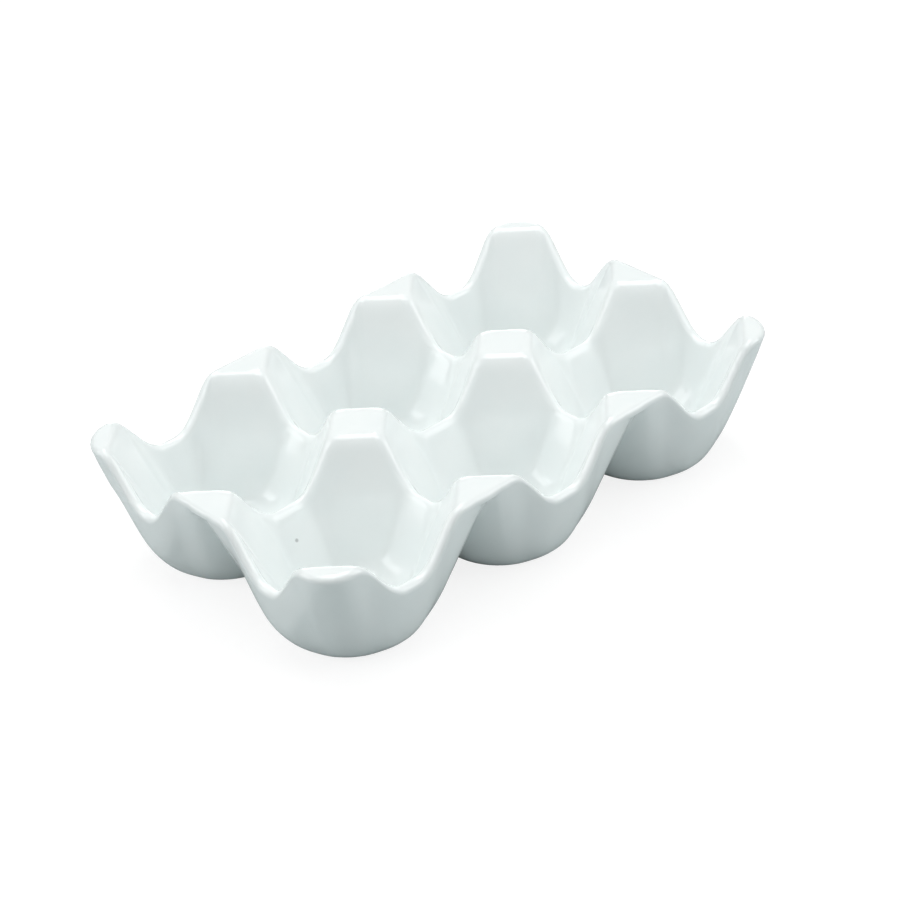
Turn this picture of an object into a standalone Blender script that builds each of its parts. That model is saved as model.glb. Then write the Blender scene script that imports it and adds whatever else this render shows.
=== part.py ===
"""Glazed porcelain egg holder tray: two rows of three cups, cast as one thin shell.

All sizes are metres. The tray stands on the plane z = 0, centred on the origin,
with its long side along X.

The shell is described by two skins. The top skin is what an egg touches: a round
bowl in each cup, a flat facet rising to each post, and a rounded ridge wherever two
cups meet. The under skin is a plain round bowl below each cup, hollow below the posts.
A rounded lip joins the two skins along the scalloped outline.
"""

import math
from collections import namedtuple

import bmesh
import bpy
from mathutils import Vector

# Layout of the cups
PITCH_X = 0.0500
PITCH_Y = 0.0476
REACH_X = 0.0237            # cup axis to the middle of the outer wall, long way
REACH_Y = 0.0223            # the same, short way
CORNER_RADIUS = 0.0070      # plan radius of the outline at the four corners
CORNER_FLARE = 0.0006       # how far the corner lips lean out past the walls

# Heights
POST_TOP = 0.0352
SADDLE_TOP = 0.0224         # lowest point of each ridge and of each scallop
FLOOR_TOP = 0.0048          # inner bottom of a cup

# Posts: square tops turned a corner towards each saddle
POST_REACH = 0.0102         # post axis to a corner of its top
CORNER_REACH = 0.0094       # the same on the four corner posts
FACET_SLOPE = 2.2
EDGE_BLEND = 0.0030

# Inner bowl and its walls
BOWL_SLOPE = 1.62
BOWL_START = 0.0112         # radius where the sloping wall would meet z = 0
BOWL_BLEND = 0.0080
SADDLE_SLOPE = 1.9
OUTER_WALL_SLOPE = 2.8
WALL_BLEND = 0.0030         # bowl to the walls below the saddles
FACET_BLEND = 0.0016        # bowl to a facet
CREST_BLEND = 0.0070        # saddle to a facet along the top of a ridge
CREST_START = 0.72          # share of the way to a ridge where that rounding begins
RIDGE_BLEND = 0.0065

# Under skin
WALL = 0.0038
UNDER_SLOPE = 2.05
UNDER_START = 0.0172
UNDER_BLEND = 0.0100
END_WALL_SLOPE = 9.0        # outer walls at the two ends
SIDE_WALL_SLOPE = 4.5       # outer walls along the two long sides
OUTER_BLEND = 0.0110        # bowl to the outer walls
WEB_BLEND = 0.0045          # rounding of the web between two bowls
BOWL_OVAL = 0.965           # width over length of a bowl, which is longest along X

FLOOR_RADIUS = BOWL_START + (FLOOR_TOP - BOWL_BLEND) / BOWL_SLOPE
FOOT_RADIUS = UNDER_START - UNDER_BLEND / UNDER_SLOPE

# Lip
LIP_RADIUS = 0.0015
LIP_LEAN = math.radians(66)  # tilt of the wall end, from upright, on the scallops
UNDER_LEAN = math.radians(76)  # the same where the lip meets a steep outer wall
LIP_TURN = 0.0040           # drop below a post top over which the lip takes that tilt
RIM_SLOPE = 1.34
RIM_BLEND = 0.0044
TIP_BLEND = 0.0030

# Mesh density of one quarter of a cup
RAYS = 6
BOWL_RINGS = 7
RIDGE_RINGS = 3
UNDER_RINGS = 7
LIP_STEPS = 3
RIDGE_MARGIN = 0.0022       # width of the band that rounds a ridge
PULL_START = 0.55           # share of a ray where a skin starts to bend onto the lip
WELD = 0.00002

GLAZE = (0.80, 0.83, 0.83, 1.0)

Quarter = namedtuple("Quarter", "x y sign_x sign_y outer_x outer_y")


def smooth_max(a, b, blend):
    over = max(blend - abs(a - b), 0.0)
    return max(a, b) + over * over / (4 * blend)


def smooth_min(a, b, blend):
    return -smooth_max(-a, -b, blend)


def reach(quarter):
    """Half size of a quarter cup: to the ridge, or to the middle of the outer wall."""
    return (REACH_X if quarter.outer_x else PITCH_X / 2,
            REACH_Y if quarter.outer_y else PITCH_Y / 2)


def is_corner(quarter):
    return quarter.outer_x and quarter.outer_y


def facet_distance(quarter):
    """Distance along the diagonal from the cup axis to the edge of the post top."""
    corner = CORNER_REACH if is_corner(quarter) else POST_REACH
    return (sum(reach(quarter)) - corner) / math.sqrt(2)


def wall_height(distance, outer, half):
    """Inner wall below a saddle, or below a scallop of the outline."""
    if outer:
        shoulder = half - LIP_RADIUS * math.sin(LIP_LEAN)
        top = SADDLE_TOP - LIP_RADIUS * (1 - math.cos(LIP_LEAN))
        return top - OUTER_WALL_SLOPE * (shoulder - distance)
    return SADDLE_TOP + RIDGE_BLEND / 4 - SADDLE_SLOPE * (half - distance)


def cup_top(u, v, quarter):
    """Top skin of one cup alone, at distances u and v from its axis."""
    half_x, half_y = reach(quarter)
    bowl = smooth_max(FLOOR_TOP, BOWL_SLOPE * (math.hypot(u, v) - BOWL_START), BOWL_BLEND)
    walls = smooth_max(wall_height(u, quarter.outer_x, half_x),
                       wall_height(v, quarter.outer_y, half_y), WALL_BLEND)
    diagonal = (u + v) / math.sqrt(2)
    facet = POST_TOP - FACET_SLOPE * (facet_distance(quarter) - diagonal)
    near_ridge = (max(u / half_x, v / half_y) - CREST_START) / (1 - CREST_START)
    near_ridge = min(max(near_ridge, 0.0), 1.0)
    blend = FACET_BLEND + (CREST_BLEND - FACET_BLEND) * near_ridge ** 2
    return smooth_max(smooth_max(bowl, walls, WALL_BLEND), facet, blend)


def top_skin(u, v, quarter):
    """Top skin with the ridges to the neighbouring cups and the flat post tops."""
    half_x, half_y = reach(quarter)
    height = cup_top(u, v, quarter)
    if not quarter.outer_x:
        height = smooth_min(height, cup_top(2 * half_x - u, v, quarter), RIDGE_BLEND)
    if not quarter.outer_y:
        height = smooth_min(height, cup_top(u, 2 * half_y - v, quarter), RIDGE_BLEND)
    return smooth_min(height, POST_TOP, EDGE_BLEND)


def cup_under(u, v, quarter):
    """Under skin of one cup alone: a bowl, hardly oval, with steep outer walls."""
    half_x, half_y = reach(quarter)
    radius = math.hypot(u * BOWL_OVAL, v)
    height = smooth_max(0.0, UNDER_SLOPE * (radius - UNDER_START), UNDER_BLEND)
    top = SADDLE_TOP - LIP_RADIUS * (1 + math.cos(LIP_LEAN))
    if quarter.outer_x:
        edge = half_x + LIP_RADIUS * math.sin(LIP_LEAN)
        height = smooth_max(height, top - END_WALL_SLOPE * (edge - u), OUTER_BLEND)
    if quarter.outer_y:
        edge = half_y + LIP_RADIUS * math.sin(LIP_LEAN)
        height = smooth_max(height, top - SIDE_WALL_SLOPE * (edge - v), OUTER_BLEND)
    return height


def under_skin(u, v, quarter):
    """Under skin with the webs between cups and the hollows below the posts."""
    half_x, half_y = reach(quarter)
    height = cup_under(u, v, quarter)
    if not quarter.outer_x:
        height = smooth_min(height, cup_under(2 * half_x - u, v, quarter), WEB_BLEND)
    if not quarter.outer_y:
        height = smooth_min(height, cup_under(u, 2 * half_y - v, quarter), WEB_BLEND)
    return smooth_min(height, POST_TOP - WALL, EDGE_BLEND)


def rim_height(along, post_reach):
    """Top of the outline at a distance along the side from the middle of a post."""
    slope = POST_TOP - RIM_SLOPE * (along - post_reach)
    return smooth_min(smooth_max(slope, SADDLE_TOP, RIM_BLEND), POST_TOP, TIP_BLEND)


def on_rim(quarter, turn):
    """Whether the ray at a turn of 0 to 1 ends on the outline and not on a ridge."""
    if turn == 0.5:
        return quarter.outer_x or quarter.outer_y
    return quarter.outer_x if turn < 0.5 else quarter.outer_y


def edge_point(quarter, turn):
    """Where the ray leaves the quarter's rectangle, and the way out through that side."""
    half_x, half_y = reach(quarter)
    tangent = math.tan(turn * math.pi / 2)
    if turn < 0.5 or turn == 0.5 and not quarter.outer_y:
        return Vector((half_x, half_y * tangent)), Vector((1, 0))
    return Vector((half_x / tangent, half_y)), Vector((0, 1))


def lip_point(quarter, turn, step):
    """Point of the rounded lip; step runs from 0 on the top skin to 1 on the under skin."""
    edge, outward = edge_point(quarter, turn)
    along = sum(reach(quarter)) - edge.x - edge.y
    top = rim_height(along, CORNER_REACH if is_corner(quarter) else POST_REACH)
    flare = 0.0
    if is_corner(quarter):
        flare = CORNER_FLARE
        core = Vector(reach(quarter)) - Vector((CORNER_RADIUS, CORNER_RADIUS))
        if min(edge - core) > 0:
            outward = (edge - core).normalized()
            edge = core + CORNER_RADIUS * outward
    raised = (top - SADDLE_TOP) / (POST_TOP - SADDLE_TOP)
    lean_in = LIP_LEAN * min(max((POST_TOP - top) / LIP_TURN, 0.0), 1.0)
    drop = top - WALL - under_skin(edge.x, edge.y, quarter)
    lean_out = max(lean_in, UNDER_LEAN * min(max(drop / LIP_TURN, 0.0), 1.0))
    angle = math.pi / 2 + lean_in + (lean_out - lean_in - math.pi) * step
    side = edge + outward * (flare * raised + LIP_RADIUS * math.cos(angle))
    return Vector((side.x, side.y, top - LIP_RADIUS + LIP_RADIUS * math.sin(angle)))


def skin_point(quarter, turn, share, skin, step):
    """Point of a skin at a share of its ray, drawn onto the lip near an outer side."""
    end = lip_point(quarter, turn, step) if on_rim(quarter, turn) else edge_point(quarter, turn)[0]
    u = end.x * share
    v = end.y * share
    height = skin(u, v, quarter)
    if on_rim(quarter, turn):
        pull = max((share - PULL_START) / (1 - PULL_START), 0.0) ** 2
        height += pull * (end.z - skin(end.x, end.y, quarter))
    return Vector((u, v, height))


def top_point(quarter, turn, ring):
    """Top skin: rings out to the mouth of the cup, then across the ridge or post top."""
    end = lip_point(quarter, turn, 0) if on_rim(quarter, turn) else edge_point(quarter, turn)[0]
    length = math.hypot(end.x, end.y)
    floor = FLOOR_RADIUS / length
    mouth = min(1 - RIDGE_MARGIN / length,
                facet_distance(quarter) * math.sqrt(2) / (end.x + end.y))
    count = ring * (BOWL_RINGS + RIDGE_RINGS)
    if count <= 1:
        share = floor * count
    elif count <= BOWL_RINGS:
        share = floor + (mouth - floor) * (count - 1) / (BOWL_RINGS - 1)
    else:
        share = mouth + (1 - mouth) * ((count - BOWL_RINGS) / RIDGE_RINGS) ** 1.3
    return skin_point(quarter, turn, share, top_skin, 0)


def under_point(quarter, turn, ring):
    """Under skin: a flat foot, then rings out to the web between cups or to the lip."""
    end = lip_point(quarter, turn, 1) if on_rim(quarter, turn) else edge_point(quarter, turn)[0]
    foot = FOOT_RADIUS / math.hypot(end.x, end.y)
    count = ring * UNDER_RINGS
    share = foot * count if count <= 1 else foot + (1 - foot) * (count - 1) / (UNDER_RINGS - 1)
    return skin_point(quarter, turn, share, under_skin, 1)


def add_patch(bm, quarter, columns, rows, place):
    """A grid of faces bent into shape: columns turn about the cup, rows run outwards."""
    grid = bmesh.ops.create_grid(bm, x_segments=columns, y_segments=rows, size=0.5)
    for vert in grid["verts"]:
        point = place(round((vert.co.x + 0.5) * columns) / columns, vert.co.y + 0.5)
        vert.co = (quarter.x + quarter.sign_x * point.x,
                   quarter.y + quarter.sign_y * point.y, point.z)


def add_quarter_cup(bm, quarter):
    """Both skins of a quarter of a cup, and the lip along its outer sides."""
    add_patch(bm, quarter, RAYS, BOWL_RINGS + RIDGE_RINGS,
              lambda turn, ring: top_point(quarter, turn, ring))
    add_patch(bm, quarter, RAYS, UNDER_RINGS,
              lambda turn, ring: under_point(quarter, turn, ring))
    for outer, start in ((quarter.outer_x, 0.0), (quarter.outer_y, 0.5)):
        if outer:
            add_patch(bm, quarter, RAYS // 2, LIP_STEPS,
                      lambda turn, step: lip_point(quarter, start + turn / 2, step))


def egg_tray_mesh():
    """The tray's positive quarter, one and a half cups, mirrored across X and Y."""
    bm = bmesh.new()
    row = PITCH_Y / 2
    quarters = (
        Quarter(PITCH_X, row, 1, 1, True, True),
        Quarter(PITCH_X, row, 1, -1, True, False),
        Quarter(PITCH_X, row, -1, 1, False, True),
        Quarter(PITCH_X, row, -1, -1, False, False),
        Quarter(0, row, 1, 1, False, True),
        Quarter(0, row, 1, -1, False, False),
    )
    for quarter in quarters:
        add_quarter_cup(bm, quarter)
    for axis in ("X", "Y"):
        bmesh.ops.mirror(bm, geom=bm.verts[:] + bm.edges[:] + bm.faces[:],
                         axis=axis, merge_dist=WELD)
    bmesh.ops.remove_doubles(bm, verts=bm.verts, dist=WELD)
    bmesh.ops.dissolve_degenerate(bm, edges=bm.edges, dist=WELD)
    bmesh.ops.recalc_face_normals(bm, faces=bm.faces)
    mesh = bpy.data.meshes.new("egg_tray")
    bm.to_mesh(mesh)
    bm.free()
    mesh.shade_smooth()
    return mesh


def glazed_porcelain():
    material = bpy.data.materials.new("glazed_porcelain")
    material.use_nodes = True
    shader = material.node_tree.nodes["Principled BSDF"]
    shader.inputs["Base Color"].default_value = GLAZE
    shader.inputs["Roughness"].default_value = 0.12
    shader.inputs["Metallic"].default_value = 0.0
    return material


def main():
    for item in list(bpy.data.objects):
        bpy.data.objects.remove(item)
    mesh = egg_tray_mesh()
    mesh.materials.append(glazed_porcelain())
    bpy.context.collection.objects.link(bpy.data.objects.new("egg_tray", mesh))


main()
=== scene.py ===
"""Glazed porcelain egg tray on a pale studio floor.

The tray is one fired piece. Its finished surface is made here as a fine mesh of two
skins joined by a rounded lip, and given a cool white glaze that is slightly uneven
and wiped off the feet. All sizes are metres.
"""

import math
from collections import namedtuple

import bmesh
import bpy
from mathutils import Matrix, Vector, noise


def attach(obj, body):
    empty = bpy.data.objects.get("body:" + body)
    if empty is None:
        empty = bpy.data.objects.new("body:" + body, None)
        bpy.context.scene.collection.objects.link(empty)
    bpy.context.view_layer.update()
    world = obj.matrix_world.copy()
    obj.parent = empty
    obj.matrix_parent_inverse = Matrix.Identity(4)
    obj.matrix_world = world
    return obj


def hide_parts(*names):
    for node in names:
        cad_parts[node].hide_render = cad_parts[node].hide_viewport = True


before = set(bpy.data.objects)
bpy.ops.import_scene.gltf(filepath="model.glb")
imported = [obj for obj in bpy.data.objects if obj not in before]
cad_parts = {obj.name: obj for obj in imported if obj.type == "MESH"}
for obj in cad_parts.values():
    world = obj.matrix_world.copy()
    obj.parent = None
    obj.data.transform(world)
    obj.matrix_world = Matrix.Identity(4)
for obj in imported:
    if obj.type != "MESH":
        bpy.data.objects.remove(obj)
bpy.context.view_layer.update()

# Layout of the cups
PITCH_X = 0.0500
PITCH_Y = 0.0476
REACH_X = 0.0237            # cup axis to the middle of the outer wall, long way
REACH_Y = 0.0223            # the same, short way
CORNER_RADIUS = 0.0070      # plan radius of the outline at the four corners
CORNER_FLARE = 0.0006       # how far the corner lips lean out past the walls

# Heights
POST_TOP = 0.0352
SADDLE_TOP = 0.0224         # lowest point of each ridge and of each scallop
FLOOR_TOP = 0.0048          # inner bottom of a cup

# Posts: square tops turned a corner towards each saddle
POST_REACH = 0.0102         # post axis to a corner of its top
CORNER_REACH = 0.0094       # the same on the four corner posts
FACET_SLOPE = 2.2
EDGE_BLEND = 0.0030         # rounding along the edges of a post top

# Inner bowl and its walls
BOWL_SLOPE = 1.62
BOWL_START = 0.0112         # radius where the sloping wall would meet z = 0
BOWL_BLEND = 0.0080
SADDLE_SLOPE = 1.9
OUTER_WALL_SLOPE = 2.8
WALL_BLEND = 0.0030         # bowl to the walls below the saddles
FACET_BLEND = 0.0016        # bowl to a facet
CREST_BLEND = 0.0070        # saddle to a facet along the top of a ridge
CREST_START = 0.72          # share of the way to a ridge where that rounding begins
RIDGE_BLEND = 0.0065

# Under skin
WALL = 0.0038               # thickness under the top of a post
UNDER_SLOPE = 2.05
UNDER_START = 0.0172
UNDER_BLEND = 0.0100
END_WALL_SLOPE = 9.0        # outer walls at the two ends
SIDE_WALL_SLOPE = 4.5       # outer walls along the two long sides
OUTER_BLEND = 0.0110        # bowl to the outer walls
WEB_BLEND = 0.0045          # rounding of the web between two bowls
BOWL_OVAL = 0.965           # width over length of a bowl, which is longest along X

FLOOR_RADIUS = BOWL_START + (FLOOR_TOP - BOWL_BLEND) / BOWL_SLOPE
FOOT_RADIUS = UNDER_START - UNDER_BLEND / UNDER_SLOPE

# Lip
LIP_RADIUS = 0.0015
LIP_LEAN = math.radians(66)  # tilt of the wall end, from upright, on the scallops
UNDER_LEAN = math.radians(76)  # the same where the lip meets a steep outer wall
LIP_TURN = 0.0040           # drop below a post top over which the lip takes that tilt
RIM_SLOPE = 1.34            # of the outline between a post and a scallop
RIM_BLEND = 0.0044          # rounding at the bottom of a scallop
TIP_BLEND = 0.0030          # rounding at the ends of a post top

# Mesh density of one quarter of a cup
RAYS = 36
BOWL_RINGS = 28
RIDGE_RINGS = 12
UNDER_RINGS = 26
LIP_STEPS = 10
RIDGE_MARGIN = 0.0022       # width of the band that rounds a ridge
RIDGE_CROWDING = 1.3        # above 1, the rings crowd towards the mouth of the cup
PULL_START = 0.55           # share of a ray where a skin starts to bend onto the lip
WELD = 0.00002

# Glaze; the porcelain's own colour shows where it is wiped off
THIN_GLAZE = (0.802, 0.844, 0.838, 1.0)
DEEP_GLAZE = (0.784, 0.832, 0.828, 1.0)
BARE_PORCELAIN = (0.74, 0.73, 0.70, 1.0)
GLAZE_ROUGHNESS = 0.07
GLAZE_IOR = 1.5
BARE_ROUGHNESS = 0.55
FOOT_WIPED = 0.0006         # height above the table up to which the feet are bare
MOTTLE_SCALE = 90.0
MOTTLE_DETAIL = 2.0
MOTTLE_RANGE = (0.35, 0.65)  # noise values that give the thin and the deep glaze
FLECK = (0.46, 0.48, 0.48, 1.0)
FLECK_PLACE = (-0.0507, -0.0046, 0.0154)  # one dark fleck on the bowl of the near cup
FLECK_RADIUS = 0.0006

# Camera, in metres and degrees
VIEW_PLACE = (-0.36404, -0.44432, 0.38183)
VIEW_SIDE = -39.613
VIEW_HEIGHT = 32.611
VIEW_ROLL = -5.247
VIEW_LENS = 107.38          # focal length and sensor width in millimetres
VIEW_SENSOR = 36.0
VIEW_CLIP = 0.05

# Stage
FLOOR_SIZE = 6.0
FLOOR_ROUGHNESS = 0.9
TABLE_DROP = 0.0002         # how far the grey table lies below the pale floor
PALE_FLOOR = (0.18, 0.18, 0.18, 1.0)
FLOOR_GLOW = 0.84           # the floor is lit from below too, as a light table is
GREY_TABLE = (0.49, 0.54, 0.545, 1.0)
WORLD_GLOW = 0.12

# Name, side and height in degrees seen from the camera, distance, size, and brightness
SOFTBOXES = (
    ("top_softbox", 0, 90, 1.6, 1.15, 3.5),
    ("left_softbox", -80, 28, 1.4, 1.0, 2.7),
    ("right_softbox", 80, 28, 1.4, 1.0, 3.0),
    ("front_softbox", -20, 42, 1.4, 1.0, 0.6),
    ("low_back_strip", 180, 12, 1.4, 0.5, 2.5),
    ("high_back_lamp", 180, 58, 1.4, 0.30, 14.0),
)

# Unevenness left by casting and glazing
WOBBLE = 0.00012
WOBBLE_SPAN = 0.021
FOOT_FADE = 0.006           # height over which the unevenness builds up from the feet
EDGE_FADE = 0.004           # the same, down from the post tops and in from the outline
GLAZE_SHRINK = 0.997        # keeps the finely rounded lip within the nominal outline

Quarter = namedtuple("Quarter", "x y sign_x sign_y outer_x outer_y")


def smooth_max(a, b, blend):
    over = max(blend - abs(a - b), 0.0)
    return max(a, b) + over * over / (4 * blend)


def smooth_min(a, b, blend):
    return -smooth_max(-a, -b, blend)


def reach(quarter):
    """Half size of a quarter cup: to the ridge, or to the middle of the outer wall."""
    return (REACH_X if quarter.outer_x else PITCH_X / 2,
            REACH_Y if quarter.outer_y else PITCH_Y / 2)


def is_corner(quarter):
    return quarter.outer_x and quarter.outer_y


def facet_distance(quarter):
    """Distance along the diagonal from the cup axis to the edge of the post top."""
    corner = CORNER_REACH if is_corner(quarter) else POST_REACH
    return (sum(reach(quarter)) - corner) / math.sqrt(2)


def wall_height(distance, outer, half):
    """Inner wall below a saddle, or below a scallop of the outline."""
    if outer:
        shoulder = half - LIP_RADIUS * math.sin(LIP_LEAN)
        top = SADDLE_TOP - LIP_RADIUS * (1 - math.cos(LIP_LEAN))
        return top - OUTER_WALL_SLOPE * (shoulder - distance)
    return SADDLE_TOP + RIDGE_BLEND / 4 - SADDLE_SLOPE * (half - distance)


def cup_top(u, v, quarter):
    """Top skin of one cup alone, at distances u and v from its axis."""
    half_x, half_y = reach(quarter)
    bowl = smooth_max(FLOOR_TOP, BOWL_SLOPE * (math.hypot(u, v) - BOWL_START), BOWL_BLEND)
    walls = smooth_max(wall_height(u, quarter.outer_x, half_x),
                       wall_height(v, quarter.outer_y, half_y), WALL_BLEND)
    diagonal = (u + v) / math.sqrt(2)
    facet = POST_TOP - FACET_SLOPE * (facet_distance(quarter) - diagonal)
    near_ridge = (max(u / half_x, v / half_y) - CREST_START) / (1 - CREST_START)
    near_ridge = min(max(near_ridge, 0.0), 1.0)
    blend = FACET_BLEND + (CREST_BLEND - FACET_BLEND) * near_ridge ** 2
    return smooth_max(smooth_max(bowl, walls, WALL_BLEND), facet, blend)


def top_skin(u, v, quarter):
    """Top skin with the ridges to the neighbouring cups and the flat post tops."""
    half_x, half_y = reach(quarter)
    height = cup_top(u, v, quarter)
    if not quarter.outer_x:
        height = smooth_min(height, cup_top(2 * half_x - u, v, quarter), RIDGE_BLEND)
    if not quarter.outer_y:
        height = smooth_min(height, cup_top(u, 2 * half_y - v, quarter), RIDGE_BLEND)
    return smooth_min(height, POST_TOP, EDGE_BLEND)


def cup_under(u, v, quarter):
    """Under skin of one cup alone: a bowl, hardly oval, with steep outer walls."""
    half_x, half_y = reach(quarter)
    radius = math.hypot(u * BOWL_OVAL, v)
    height = smooth_max(0.0, UNDER_SLOPE * (radius - UNDER_START), UNDER_BLEND)
    top = SADDLE_TOP - LIP_RADIUS * (1 + math.cos(LIP_LEAN))
    if quarter.outer_x:
        edge = half_x + LIP_RADIUS * math.sin(LIP_LEAN)
        height = smooth_max(height, top - END_WALL_SLOPE * (edge - u), OUTER_BLEND)
    if quarter.outer_y:
        edge = half_y + LIP_RADIUS * math.sin(LIP_LEAN)
        height = smooth_max(height, top - SIDE_WALL_SLOPE * (edge - v), OUTER_BLEND)
    return height


def under_skin(u, v, quarter):
    """Under skin with the webs between cups and the hollows below the posts."""
    half_x, half_y = reach(quarter)
    height = cup_under(u, v, quarter)
    if not quarter.outer_x:
        height = smooth_min(height, cup_under(2 * half_x - u, v, quarter), WEB_BLEND)
    if not quarter.outer_y:
        height = smooth_min(height, cup_under(u, 2 * half_y - v, quarter), WEB_BLEND)
    return smooth_min(height, POST_TOP - WALL, EDGE_BLEND)


def rim_height(along, post_reach):
    """Top of the outline at a distance along the side from the middle of a post."""
    slope = POST_TOP - RIM_SLOPE * (along - post_reach)
    return smooth_min(smooth_max(slope, SADDLE_TOP, RIM_BLEND), POST_TOP, TIP_BLEND)


def on_rim(quarter, turn):
    """Whether the ray at a turn of 0 to 1 ends on the outline and not on a ridge."""
    if turn == 0.5:
        return quarter.outer_x or quarter.outer_y
    return quarter.outer_x if turn < 0.5 else quarter.outer_y


def edge_point(quarter, turn):
    """Where the ray leaves the quarter's rectangle, and the way out through that side."""
    half_x, half_y = reach(quarter)
    tangent = math.tan(turn * math.pi / 2)
    if turn < 0.5 or turn == 0.5 and not quarter.outer_y:
        return Vector((half_x, half_y * tangent)), Vector((1, 0))
    return Vector((half_x / tangent, half_y)), Vector((0, 1))


def lip_point(quarter, turn, step):
    """Point of the rounded lip; step runs from 0 on the top skin to 1 on the under skin."""
    edge, outward = edge_point(quarter, turn)
    along = sum(reach(quarter)) - edge.x - edge.y
    top = rim_height(along, CORNER_REACH if is_corner(quarter) else POST_REACH)
    flare = 0.0
    if is_corner(quarter):
        flare = CORNER_FLARE
        core = Vector(reach(quarter)) - Vector((CORNER_RADIUS, CORNER_RADIUS))
        if min(edge - core) > 0:
            outward = (edge - core).normalized()
            edge = core + CORNER_RADIUS * outward
    raised = (top - SADDLE_TOP) / (POST_TOP - SADDLE_TOP)
    lean_in = LIP_LEAN * min(max((POST_TOP - top) / LIP_TURN, 0.0), 1.0)
    drop = top - WALL - under_skin(edge.x, edge.y, quarter)
    lean_out = max(lean_in, UNDER_LEAN * min(max(drop / LIP_TURN, 0.0), 1.0))
    angle = math.pi / 2 + lean_in + (lean_out - lean_in - math.pi) * step
    side = edge + outward * (flare * raised + LIP_RADIUS * math.cos(angle))
    return Vector((side.x, side.y, top - LIP_RADIUS + LIP_RADIUS * math.sin(angle)))


def skin_point(quarter, turn, share, skin, step):
    """Point of a skin at a share of its ray, drawn onto the lip near an outer side."""
    end = lip_point(quarter, turn, step) if on_rim(quarter, turn) else edge_point(quarter, turn)[0]
    u = end.x * share
    v = end.y * share
    height = skin(u, v, quarter)
    if on_rim(quarter, turn):
        pull = max((share - PULL_START) / (1 - PULL_START), 0.0) ** 2
        height += pull * (end.z - skin(end.x, end.y, quarter))
    return Vector((u, v, height))


def top_point(quarter, turn, ring):
    """Top skin: rings out to the mouth of the cup, then across the ridge or post top."""
    end = lip_point(quarter, turn, 0) if on_rim(quarter, turn) else edge_point(quarter, turn)[0]
    length = math.hypot(end.x, end.y)
    floor = FLOOR_RADIUS / length
    mouth = min(1 - RIDGE_MARGIN / length,
                facet_distance(quarter) * math.sqrt(2) / (end.x + end.y))
    count = ring * (BOWL_RINGS + RIDGE_RINGS)
    if count <= 1:
        share = floor * count
    elif count <= BOWL_RINGS:
        share = floor + (mouth - floor) * (count - 1) / (BOWL_RINGS - 1)
    else:
        share = mouth + (1 - mouth) * ((count - BOWL_RINGS) / RIDGE_RINGS) ** RIDGE_CROWDING
    return skin_point(quarter, turn, share, top_skin, 0)


def under_point(quarter, turn, ring):
    """Under skin: a flat foot, then rings out to the web between cups or to the lip."""
    end = lip_point(quarter, turn, 1) if on_rim(quarter, turn) else edge_point(quarter, turn)[0]
    foot = FOOT_RADIUS / math.hypot(end.x, end.y)
    count = ring * UNDER_RINGS
    share = foot * count if count <= 1 else foot + (1 - foot) * (count - 1) / (UNDER_RINGS - 1)
    return skin_point(quarter, turn, share, under_skin, 1)


def add_patch(bm, quarter, columns, rows, place):
    """A grid of faces bent into shape: columns turn about the cup, rows run outwards."""
    grid = bmesh.ops.create_grid(bm, x_segments=columns, y_segments=rows, size=0.5)
    for vert in grid["verts"]:
        point = place(round((vert.co.x + 0.5) * columns) / columns, vert.co.y + 0.5)
        vert.co = (quarter.x + quarter.sign_x * point.x,
                   quarter.y + quarter.sign_y * point.y, point.z)


def add_quarter_cup(bm, quarter):
    """Both skins of a quarter of a cup, and the lip along its outer sides."""
    add_patch(bm, quarter, RAYS, BOWL_RINGS + RIDGE_RINGS,
              lambda turn, ring: top_point(quarter, turn, ring))
    add_patch(bm, quarter, RAYS, UNDER_RINGS,
              lambda turn, ring: under_point(quarter, turn, ring))
    for outer, start in ((quarter.outer_x, 0.0), (quarter.outer_y, 0.5)):
        if outer:
            add_patch(bm, quarter, RAYS // 2, LIP_STEPS,
                      lambda turn, step: lip_point(quarter, start + turn / 2, step))


def add_wobble(bm):
    """Shallow unevenness of the cast wall, fading out at the feet and the outline."""
    for vert in bm.verts:
        rise = min(max(vert.co.z / FOOT_FADE, 0.0), 1.0)
        inset_x = (PITCH_X + REACH_X - abs(vert.co.x)) / EDGE_FADE
        inset_y = (PITCH_Y / 2 + REACH_Y - abs(vert.co.y)) / EDGE_FADE
        drop = (POST_TOP - vert.co.z) / EDGE_FADE
        fade = min(max(min(rise, inset_x, inset_y, drop), 0.0), 1.0)
        push = noise.noise(vert.co / WOBBLE_SPAN) * WOBBLE * fade
        vert.co += vert.normal * push


def egg_tray_mesh():
    """The tray's positive quarter, one and a half cups, mirrored across X and Y."""
    bm = bmesh.new()
    row = PITCH_Y / 2
    quarters = (
        Quarter(PITCH_X, row, 1, 1, True, True),
        Quarter(PITCH_X, row, 1, -1, True, False),
        Quarter(PITCH_X, row, -1, 1, False, True),
        Quarter(PITCH_X, row, -1, -1, False, False),
        Quarter(0, row, 1, 1, False, True),
        Quarter(0, row, 1, -1, False, False),
    )
    for quarter in quarters:
        add_quarter_cup(bm, quarter)
    for axis in ("X", "Y"):
        bmesh.ops.mirror(bm, geom=bm.verts[:] + bm.edges[:] + bm.faces[:],
                         axis=axis, merge_dist=WELD)
    bmesh.ops.remove_doubles(bm, verts=bm.verts, dist=WELD)
    bmesh.ops.dissolve_degenerate(bm, edges=bm.edges, dist=WELD)
    bmesh.ops.recalc_face_normals(bm, faces=bm.faces)
    bm.normal_update()
    add_wobble(bm)
    bmesh.ops.scale(bm, verts=bm.verts, vec=(GLAZE_SHRINK, GLAZE_SHRINK, 1))
    mesh = bpy.data.meshes.new("glazed_egg_tray")
    bm.to_mesh(mesh)
    bm.free()
    mesh.shade_smooth()
    return mesh


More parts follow.
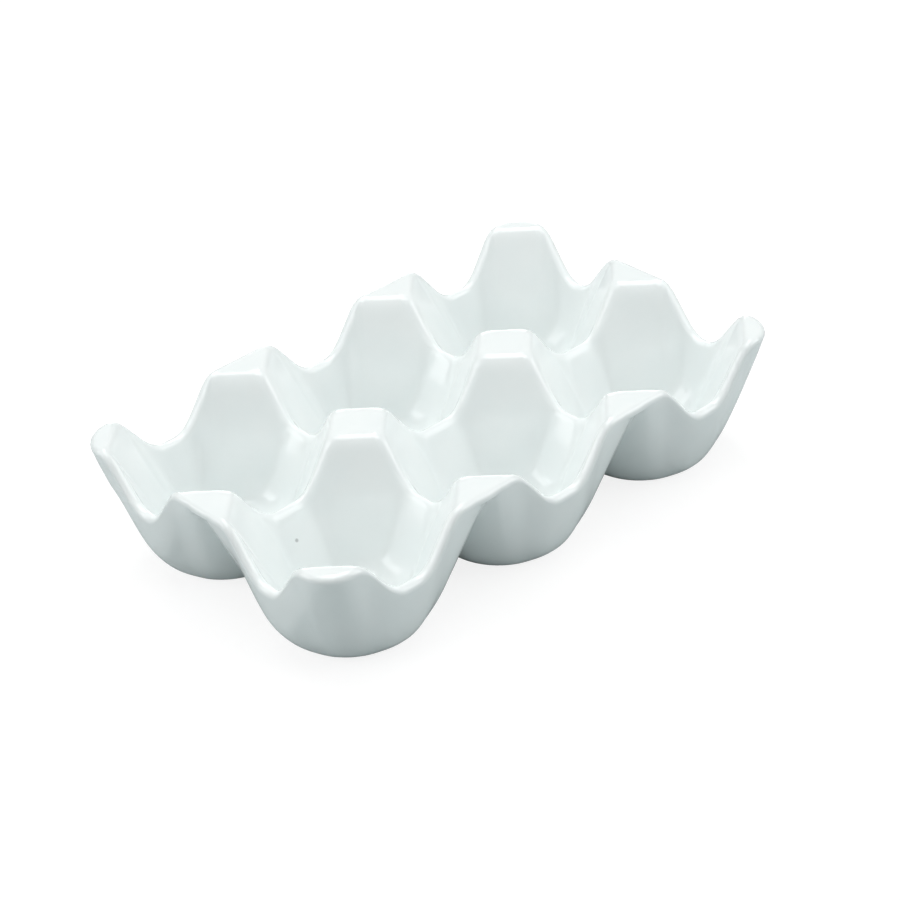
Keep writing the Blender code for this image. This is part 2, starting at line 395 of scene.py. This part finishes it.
def glazed_porcelain():
    """Cool white glaze of slightly uneven depth, with a fleck, wiped off the feet."""
    material = bpy.data.materials.new("glazed_porcelain")
    material.use_nodes = True
    nodes = material.node_tree.nodes
    links = material.node_tree.links
    shader = nodes["Principled BSDF"]
    shader.inputs["IOR"].default_value = GLAZE_IOR
    place = nodes.new("ShaderNodeTexCoord")

    mottle = nodes.new("ShaderNodeTexNoise")
    mottle.inputs["Scale"].default_value = MOTTLE_SCALE
    mottle.inputs["Detail"].default_value = MOTTLE_DETAIL
    links.new(place.outputs["Object"], mottle.inputs["Vector"])
    glaze = nodes.new("ShaderNodeValToRGB")
    for stop, position, colour in zip(glaze.color_ramp.elements, MOTTLE_RANGE,
                                      (THIN_GLAZE, DEEP_GLAZE)):
        stop.position = position
        stop.color = colour
    links.new(mottle.outputs["Fac"], glaze.inputs["Fac"])

    span = nodes.new("ShaderNodeVectorMath")
    span.operation = "DISTANCE"
    span.inputs[1].default_value = FLECK_PLACE
    links.new(place.outputs["Object"], span.inputs[0])
    fleck = nodes.new("ShaderNodeMapRange")
    fleck.inputs["From Min"].default_value = FLECK_RADIUS
    fleck.inputs["From Max"].default_value = FLECK_RADIUS / 2
    links.new(span.outputs["Value"], fleck.inputs["Value"])
    flecked = nodes.new("ShaderNodeMixRGB")
    flecked.inputs["Color2"].default_value = FLECK
    links.new(fleck.outputs["Result"], flecked.inputs["Fac"])
    links.new(glaze.outputs["Color"], flecked.inputs["Color1"])

    height = nodes.new("ShaderNodeSeparateXYZ")
    links.new(place.outputs["Object"], height.inputs["Vector"])
    bare = nodes.new("ShaderNodeMapRange")
    bare.inputs["From Min"].default_value = FOOT_WIPED
    bare.inputs["From Max"].default_value = FOOT_WIPED / 2
    links.new(height.outputs["Z"], bare.inputs["Value"])
    surface = nodes.new("ShaderNodeMixRGB")
    surface.inputs["Color2"].default_value = BARE_PORCELAIN
    links.new(bare.outputs["Result"], surface.inputs["Fac"])
    links.new(flecked.outputs["Color"], surface.inputs["Color1"])
    links.new(surface.outputs["Color"], shader.inputs["Base Color"])
    gloss = nodes.new("ShaderNodeMapRange")
    gloss.inputs["To Min"].default_value = GLAZE_ROUGHNESS
    gloss.inputs["To Max"].default_value = BARE_ROUGHNESS
    links.new(bare.outputs["Result"], gloss.inputs["Value"])
    links.new(gloss.outputs["Result"], shader.inputs["Roughness"])
    return material


def plain_material(name, colour, glow):
    material = bpy.data.materials.new(name)
    material.use_nodes = True
    shader = material.node_tree.nodes["Principled BSDF"]
    shader.inputs["Base Color"].default_value = colour
    shader.inputs["Roughness"].default_value = FLOOR_ROUGHNESS
    shader.inputs["Emission Color"].default_value = (1.0, 1.0, 1.0, 1.0)
    shader.inputs["Emission Strength"].default_value = glow
    return material


def add_plane(name, height, colour, glow):
    bm = bmesh.new()
    bmesh.ops.create_grid(bm, x_segments=1, y_segments=1, size=FLOOR_SIZE)
    bmesh.ops.translate(bm, verts=bm.verts, vec=(0, 0, height))
    mesh = bpy.data.meshes.new(name)
    bm.to_mesh(mesh)
    bm.free()
    mesh.materials.append(plain_material(name, colour, glow))
    plane = bpy.data.objects.new(name, mesh)
    bpy.context.collection.objects.link(plane)
    return plane


def add_floors():
    """A pale floor for the eye, over a greyer one that the glaze picks up."""
    pale = add_plane("pale_floor", 0.0, PALE_FLOOR, FLOOR_GLOW)
    pale.visible_diffuse = False
    pale.visible_glossy = False
    pale.visible_shadow = False
    grey = add_plane("grey_table", -TABLE_DROP, GREY_TABLE, 0.0)
    grey.visible_camera = False
    return pale, grey


def add_softbox(name, side, height, away, size, glow):
    """Square lamp facing the tray: side and height in degrees, seen from the camera."""
    turn = math.radians(VIEW_SIDE + side)
    tilt = math.radians(height)
    place = away * Vector((math.sin(turn) * math.cos(tilt),
                           -math.cos(turn) * math.cos(tilt), math.sin(tilt)))
    lamp = bpy.data.lights.new(name, "AREA")
    lamp.shape = "SQUARE"
    lamp.size = size
    lamp.energy = math.pi * size * size * glow
    light = bpy.data.objects.new(name, lamp)
    light.location = place
    light.rotation_euler = (-place).to_track_quat("-Z", "Y").to_euler()
    bpy.context.collection.objects.link(light)


def light_studio():
    world = bpy.data.worlds.new("studio_light")
    world.use_nodes = True
    background = world.node_tree.nodes["Background"]
    background.inputs["Color"].default_value = (1.0, 1.0, 1.0, 1.0)
    background.inputs["Strength"].default_value = WORLD_GLOW
    bpy.context.scene.world = world
    for softbox in SOFTBOXES:
        add_softbox(*softbox)
    bpy.context.scene.view_settings.view_transform = "Standard"


def add_camera():
    """Camera looking down over one corner of the tray, tipped slightly."""
    lens = bpy.data.cameras.new("camera")
    lens.lens = VIEW_LENS
    lens.sensor_width = VIEW_SENSOR
    lens.clip_start = VIEW_CLIP
    camera = bpy.data.objects.new("camera", lens)
    camera.matrix_world = (
        Matrix.Translation(VIEW_PLACE)
        @ Matrix.Rotation(math.radians(VIEW_SIDE), 4, "Z")
        @ Matrix.Rotation(math.radians(90 - VIEW_HEIGHT), 4, "X")
        @ Matrix.Rotation(math.radians(VIEW_ROLL), 4, "Z")
    )
    bpy.context.collection.objects.link(camera)
    bpy.context.scene.camera = camera


tray = bpy.data.objects.new("glazed_egg_tray", egg_tray_mesh())
tray.data.materials.append(glazed_porcelain())
bpy.context.collection.objects.link(tray)
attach(tray, "root")
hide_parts("egg_tray")

add_floors()
light_studio()
add_camera()
